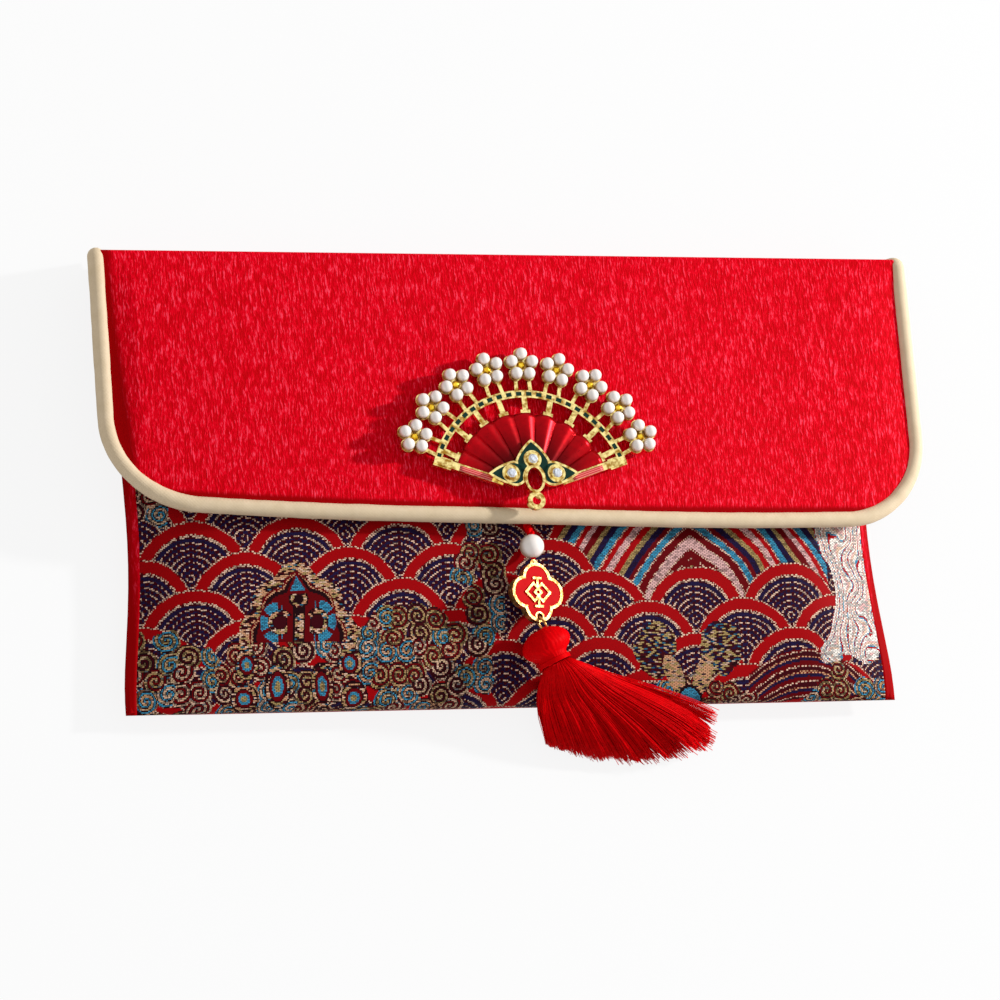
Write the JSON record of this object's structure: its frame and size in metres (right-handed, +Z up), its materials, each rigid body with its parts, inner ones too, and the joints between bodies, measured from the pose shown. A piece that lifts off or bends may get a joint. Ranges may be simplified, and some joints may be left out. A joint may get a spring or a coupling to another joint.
{
  "type": "red envelope",
  "caption": "Padded cloth gift envelope with a folding piped flap over a brocade pouch, a gilt fan brooch with pearl flowers, and a pearl, charm and tassel pendant.",
  "frame": {"origin": "centre of the flat back face that the envelope lies on", "axes": "+X along the width, +Y from the lower edge towards the folded top, +Z up out of the front"},
  "size_m": [0.2064, 0.1264, 0.0241],
  "materials": {
    "brocade": "woven, matt to satin",
    "red_crepe": "crinkled satin",
    "red_lining": "plain weave",
    "interlining": "bonded fibre",
    "champagne_satin": "satin",
    "cotton_cord": "twisted cotton",
    "gilt": "polished gilt",
    "steel": "plain",
    "red_enamel": "gloss enamel",
    "green_enamel": "gloss enamel",
    "pearl": "pearl lustre",
    "clear_stone": "faceted",
    "red_silk": "silk yarn"
  },
  "bodies": {
    "pouch": {"front_panel": "brocade", "front_interlining": "interlining", "front_lining": "red_lining", "back_panel": "red_crepe", "back_interlining": "interlining", "back_lining": "red_lining", "snap_socket": "steel"},
    "spine": {"spine_cloth": "red_crepe", "spine_lining": "red_lining", "spine_piping": "champagne_satin"},
    "bead": {"pendant_cord": "red_silk", "pearl_bead": "pearl"},
    "charm": {"charm_case": "gilt", "charm_enamel": "red_enamel", "charm_motif": "gilt", "tassel_ring": "gilt"},
    "tassel": {"tassel_loop": "red_silk", "tassel_head": "red_silk", "tassel_binding": "red_silk", "tassel_skirt": "red_silk"},
    "flap": {"flap_cloth": "red_crepe", "flap_wadding": "interlining", "flap_lining": "red_lining", "flap_piping": "champagne_satin", "piping_cord": "cotton_cord", "snap_stud": "steel", "fan_frame": "gilt", "fan_leaf": "red_enamel", "petal_enamel": "green_enamel", "fan_stones": "clear_stone", "flower_buttons": "gilt", "pin_bar": "gilt", "pin_stem": "steel", "pin_rivet": "steel", "cord_tack": "red_silk", "flower_1_pearls": "pearl", "flower_2_pearls": "pearl", "flower_3_pearls": "pearl", "flower_4_pearls": "pearl", "flower_5_pearls": "pearl", "flower_6_pearls": "pearl", "flower_7_pearls": "pearl", "flower_8_pearls": "pearl", "flower_9_pearls": "pearl"}
  },
  "joints": [
    {"name": "flap_fold", "type": "hinge", "parent": "spine", "child": "flap", "pos_m": [0.0026, 0.05445, 0.01423], "axis": [-1, 0, 0], "range_deg": [0, 85]},
    {"name": "spine_fold", "type": "hinge", "parent": "pouch", "child": "spine", "pos_m": [0.0026, 0.05445, 0.0011], "axis": [-1, 0, 0], "range_deg": [0, 85]},
    {"name": "bead_lift", "type": "hinge", "parent": "flap", "child": "bead", "pos_m": [0.0016, -0.01145, 0.01527], "axis": [-1, 0, 0], "range_deg": [0, 30]},
    {"name": "charm_lift", "type": "hinge", "parent": "bead", "child": "charm", "pos_m": [0.0016, -0.0168, 0.01745], "axis": [-1, 0, 0], "range_deg": [0, 60]},
    {"name": "tassel_lift", "type": "hinge", "parent": "charm", "child": "tassel", "pos_m": [0.00308, -0.0364, 0.01745], "axis": [-0.866, -0.5, 0], "range_deg": [0, 45]}
  ],
  "couplings": [
    {"joint": "spine_fold", "follows": "flap_fold", "ratio": 1}
  ]
}
